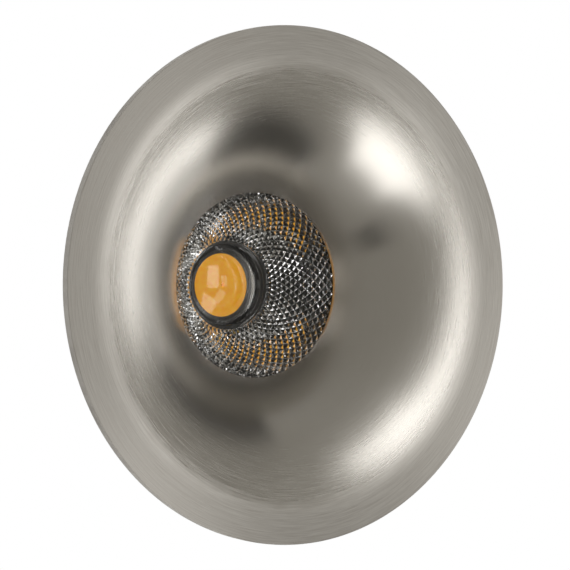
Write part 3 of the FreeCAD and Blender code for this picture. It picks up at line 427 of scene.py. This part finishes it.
# The moulding is as clear as water, with a trace of flow that softens some of its reflections. Flat faces
# and sharp ridges of the diamonds stay crisp, so only shallow bends are smoothed.
acrylic = bpy.data.materials.new("moulded_clear_acrylic")
acrylic.use_nodes = True
tree = acrylic.node_tree
shader = tree.nodes["Principled BSDF"]
shader.inputs["Base Color"].default_value = linear("#FCFCFC")
shader.inputs["Transmission Weight"].default_value = 1.0
shader.inputs["IOR"].default_value = 1.49
place = add(tree, "ShaderNodeTexCoord")
flow = add(tree, "ShaderNodeTexNoise", {"Vector": place.outputs["Object"], "Scale": 0.4 / MM, "Detail": 2.0})
gloss = add(tree, "ShaderNodeMapRange", {"Value": flow.outputs["Fac"], "To Min": 0.0, "To Max": 0.03})
tree.links.new(gloss.outputs[0], shader.inputs["Roughness"])
finished(lens, acrylic, "root", "lens", smooth=14)

# ------------------------------------------------------------------ lens carrier and seal
# The cup that holds the lens is black nylon moulded in a spark-textured tool, which breaks up its
# highlights. The ring under the flange is cast silicone, milky grey and even.
nylon = grained("spark_textured_nylon", "#0C0C0D", "#161617", 0.45, grain_size=0.18, bump=0.3)
silicone = grained("cast_silicone", "#75787B", "#878A8D", 0.55, grain_size=0.3, bump=0.1)
dressed(nylon, "lens_carrier")
dressed(silicone, "lens_seal")

# ------------------------------------------------------------------ LED
# A round chip-on-board LED: phosphor in clear silicone, poured into a dark dam and set with a slight
# glossy crown. Off, it is deep yellow and mirrors the lens around it; a weak painted glow in its own
# yellow stands in for the light that reaches it through the deep lens.
led_low, led_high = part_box("led_phosphor")
led_radius = led_high.x / MM
z_crown = led_low.z / MM
z_board = led_high.z / MM
crown = 0.25
meniscus = 0.15
led_steps = 96
led_outline = (
    [(0.0, z_board), (led_radius, z_board), (led_radius, z_crown + crown + meniscus)]
    + [(led_radius * math.cos(math.radians(a)), z_crown + crown * (1 - math.sin(math.radians(a))))
       for a in range(8, 91, 6)]
)
phosphor = turned("phosphor_crown", led_outline, led_steps)
amber = bpy.data.materials.new("phosphor_silicone_painted_glow")
amber.use_nodes = True
tree = amber.node_tree
shader = tree.nodes["Principled BSDF"]
place = add(tree, "ShaderNodeTexCoord")
grains = add(tree, "ShaderNodeTexNoise", {"Vector": place.outputs["Object"], "Scale": 1.2 / MM, "Detail": 4.0})
shade = add(tree, "ShaderNodeMapRange", {"Value": grains.outputs["Fac"], "From Min": 0.3, "From Max": 0.7})
paint = add(tree, "ShaderNodeMix", {"Factor": shade.outputs[0], "A": linear("#F09C0C"), "B": linear("#F6B41E")},
            data_type="RGBA")
tree.links.new(paint.outputs["Result"], shader.inputs["Base Color"])
# painted glow: the phosphor's yellow also drives a weak emission, which stands in for light reaching the unlit
# chip through the deep lens
tree.links.new(paint.outputs["Result"], shader.inputs["Emission Color"])
shader.inputs["Emission Strength"].default_value = 0.5
shader.inputs["Roughness"].default_value = 0.12
shader.inputs["Coat Weight"].default_value = 1.0
shader.inputs["Coat Roughness"].default_value = 0.02
finished(phosphor, amber, "root", "led_phosphor")

# ------------------------------------------------------------------ LED board and what holds it
# The dam is dark silicone with a wet gloss, on a board under black solder mask. A dull blue-grey pad lies
# behind it, and a nylon ring with two bright plated screws and two brass contacts clamps it down.
dam_silicone = grained("dark_dam_silicone", "#17181A", "#232427", 0.25, grain_size=0.3, bump=0.1, coat=0.5)
solder_mask = grained("black_masked_board", "#141416", "#1E1E21", 0.4, grain_size=0.3, bump=0.1)
filled_pad = grained("thermal_pad", "#8A94A0", "#9CA6B2", 0.7, grain_size=0.3, bump=0.2)
brass = grained("pressed_brass", "#B08D45", "#CBA95C", 0.3, metallic=1.0, grain_size=0.2)
plated_screw = grained("zinc_plated_screw", "#A9ABAD", "#C4C6C8", 0.28, metallic=1.0, grain_size=0.3)
dressed(dam_silicone, "led_dam")
dressed(solder_mask, "led_board")
dressed(filled_pad, "thermal_pad")
dressed(brass, "led_contacts")
dressed(nylon, "led_holder")
dressed(plated_screw, "led_holder_screws")

# ------------------------------------------------------------------ leads and grommet
# Two stranded wires in satin silicone, red and black, run from the contacts through a rubber grommet in
# the heat sink to the terminals.
red_silicone = grained("red_silicone_lead", "#8E0F0C", "#A81713", 0.35, grain_size=0.3, bump=0.1)
black_silicone = grained("black_silicone_lead", "#0B0B0B", "#151515", 0.35, grain_size=0.3, bump=0.1)
dressed(red_silicone, "lead_red")
dressed(black_silicone, "lead_black")
dressed(rubber, "wire_grommet")

# ------------------------------------------------------------------ housing and heat sink
# Two aluminium castings under black powder paint, which dries satin with a faint orange peel. Three
# screws pull the finned sink down on a silicone gasket.
casting = grained("powder_coated_casting", "#141415", "#202022", 0.55, grain_size=0.35, bump=0.5)
dressed(casting, "housing", "heat_sink")
dressed(silicone, "heat_sink_gasket")
dressed(plated_screw, "heat_sink_screws")

# ------------------------------------------------------------------ terminal block
# Off-white nylon, a little milky, with brass clamps and plated screws. One more screw holds it down.
# The mains wires end here, inside the wiring cover.
white_nylon = grained("moulded_terminal_nylon", "#CFCFC9", "#DEDED8", 0.4, grain_size=0.25, bump=0.15)
dressed(white_nylon, "terminal_block")
dressed(brass, "terminal_clamps")
dressed(plated_screw, "terminal_screws", "terminal_block_screw")

# ------------------------------------------------------------------ wiring cover
# A deep cap of the same black nylon as the lens carrier, held by three screws through ears at its foot,
# on a thin silicone gasket.
dressed(nylon, "wiring_cover")
dressed(silicone, "wiring_cover_gasket")
dressed(plated_screw, "wiring_cover_screws")

# ------------------------------------------------------------------ cable gland
# Dark grey nylon with an even satin surface. Its nut squeezes a rubber insert round the cable, and a
# rubber washer and a locknut seal it in the cover.
gland_nylon = grained("moulded_gland_nylon", "#2A2B2D", "#36373A", 0.42, grain_size=0.2, bump=0.25)
dressed(gland_nylon, "gland_body", "gland_nut", "gland_locknut")
dressed(rubber, "gland_insert", "gland_washer")

# ------------------------------------------------------------------ clips
# Brackets and arms pressed from zinc-plated sheet, bright with a soft bluish cloud, on turned steel pins.
# Each arm's tip is dipped in black vinyl, soft and half glossy, and each bracket has two screws.
plated_sheet = grained("zinc_plated_sheet", "#A6A9AC", "#C6C9CC", 0.33, metallic=1.0, grain_size=0.6)
turned_steel = grained("turned_steel_pin", "#A3A3A3", "#BEBEBE", 0.22, metallic=1.0, grain_size=0.2)
vinyl = grained("dipped_vinyl", "#131313", "#1F1F1F", 0.4, grain_size=0.2, bump=0.2)
dressed(plated_sheet, "clip_bracket_left", "clip_bracket_right", "clip_arm_left", "clip_arm_right")
dressed(turned_steel, "clip_pin_left", "clip_pin_right")
dressed(plated_screw, "clip_bracket_screws")
dressed(vinyl, "clip_boot_left", "clip_boot_right")

# ------------------------------------------------------------------ clip springs
# Torsion springs wound from 1 mm drawn steel wire, darker than the plated parts: a leg up the bracket's
# plate, a little over four turns round the pin, and a leg along the arm.
wire = 1.0
coil_radius = 2.4
coil_width = 7.6
coil_turns = 4
plate_leg = 8.5
arm_leg = 9.5
arm_angle = 22.0
wire_sides = 12
steps_per_turn = 32
leg_steps = 4
pin_low, pin_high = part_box("clip_pin_left")
pin_y = (pin_low.y + pin_high.y) / 2 / MM
pin_z = (pin_low.z + pin_high.z) / 2 / MM
coil_sweep = 2 * math.pi * coil_turns + math.radians(90 - arm_angle)
climb = coil_width / coil_sweep


def coil_place(turned_by):
    """Point of the wire's middle and the way it runs, for an angle along the coil."""
    angle = math.pi + turned_by
    point = Vector((coil_width * (turned_by / coil_sweep - 0.5), pin_y + coil_radius * math.cos(angle),
                    pin_z + coil_radius * math.sin(angle)))
    return point, Vector((climb, -coil_radius * math.sin(angle), coil_radius * math.cos(angle))).normalized()


def wound_spring(side, material):
    """Wire profile extruded along the leg, the turns and the other leg. The right spring is the mirror."""
    first, first_way = coil_place(0)
    last, last_way = coil_place(coil_sweep)
    count = round(coil_sweep / (2 * math.pi) * steps_per_turn)
    path = [first - first_way * plate_leg * (1 - i / leg_steps) for i in range(leg_steps)]
    path += [coil_place(coil_sweep * i / count)[0] for i in range(count + 1)]
    path += [last + last_way * arm_leg * (i + 1) / leg_steps for i in range(leg_steps)]
    bpy.ops.object.select_all(action="DESELECT")
    bpy.ops.mesh.primitive_circle_add(vertices=wire_sides, radius=wire / 2 * MM, fill_type="NGON",
                                      location=path[0] * MM,
                                      rotation=first_way.to_track_quat("Z", "Y").to_euler())
    spring = bpy.context.object
    spring.name = "wound_spring_" + side
    bpy.ops.object.transform_apply(location=True, rotation=True, scale=True)
    ways = [(b - a).normalized() for a, b in zip(path, path[1:])]
    bpy.ops.object.mode_set(mode="EDIT")
    bpy.ops.mesh.select_all(action="SELECT")
    for i in range(1, len(path)):
        bpy.ops.mesh.extrude_region_move(TRANSFORM_OT_translate={"value": (path[i] - path[i - 1]) * MM})
        if i < len(path) - 1:
            turn = ways[i - 1].rotation_difference(ways[i])
            mesh = bmesh.from_edit_mesh(spring.data)
            for vertex in mesh.verts:
                if vertex.select:
                    vertex.co = (turn @ (vertex.co / MM - path[i]) + path[i]) * MM
            bmesh.update_edit_mesh(spring.data)
    bpy.ops.object.mode_set(mode="OBJECT")
    if side == "right":
        bpy.ops.transform.mirror(constraint_axis=(False, True, False), center_override=(0, 0, 0))
        bpy.ops.object.transform_apply(location=True, rotation=True, scale=True)
    bpy.ops.object.mode_set(mode="EDIT")
    bpy.ops.mesh.select_all(action="SELECT")
    bpy.ops.mesh.normals_make_consistent(inside=False)
    bpy.ops.object.mode_set(mode="OBJECT")
    bpy.ops.object.shade_smooth_by_angle(angle=math.radians(40))
    spring.data.name = spring.name
    spring.data.materials.append(material)
    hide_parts("clip_spring_" + side)
    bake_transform(spring)


spring_wire = grained("drawn_spring_wire", "#7D7F82", "#9A9C9F", 0.25, metallic=1.0, grain_size=0.2)
dressed(spring_wire, "clip_spring_left", "clip_spring_right")
for side in ("left", "right"):
    wound_spring(side, spring_wire)
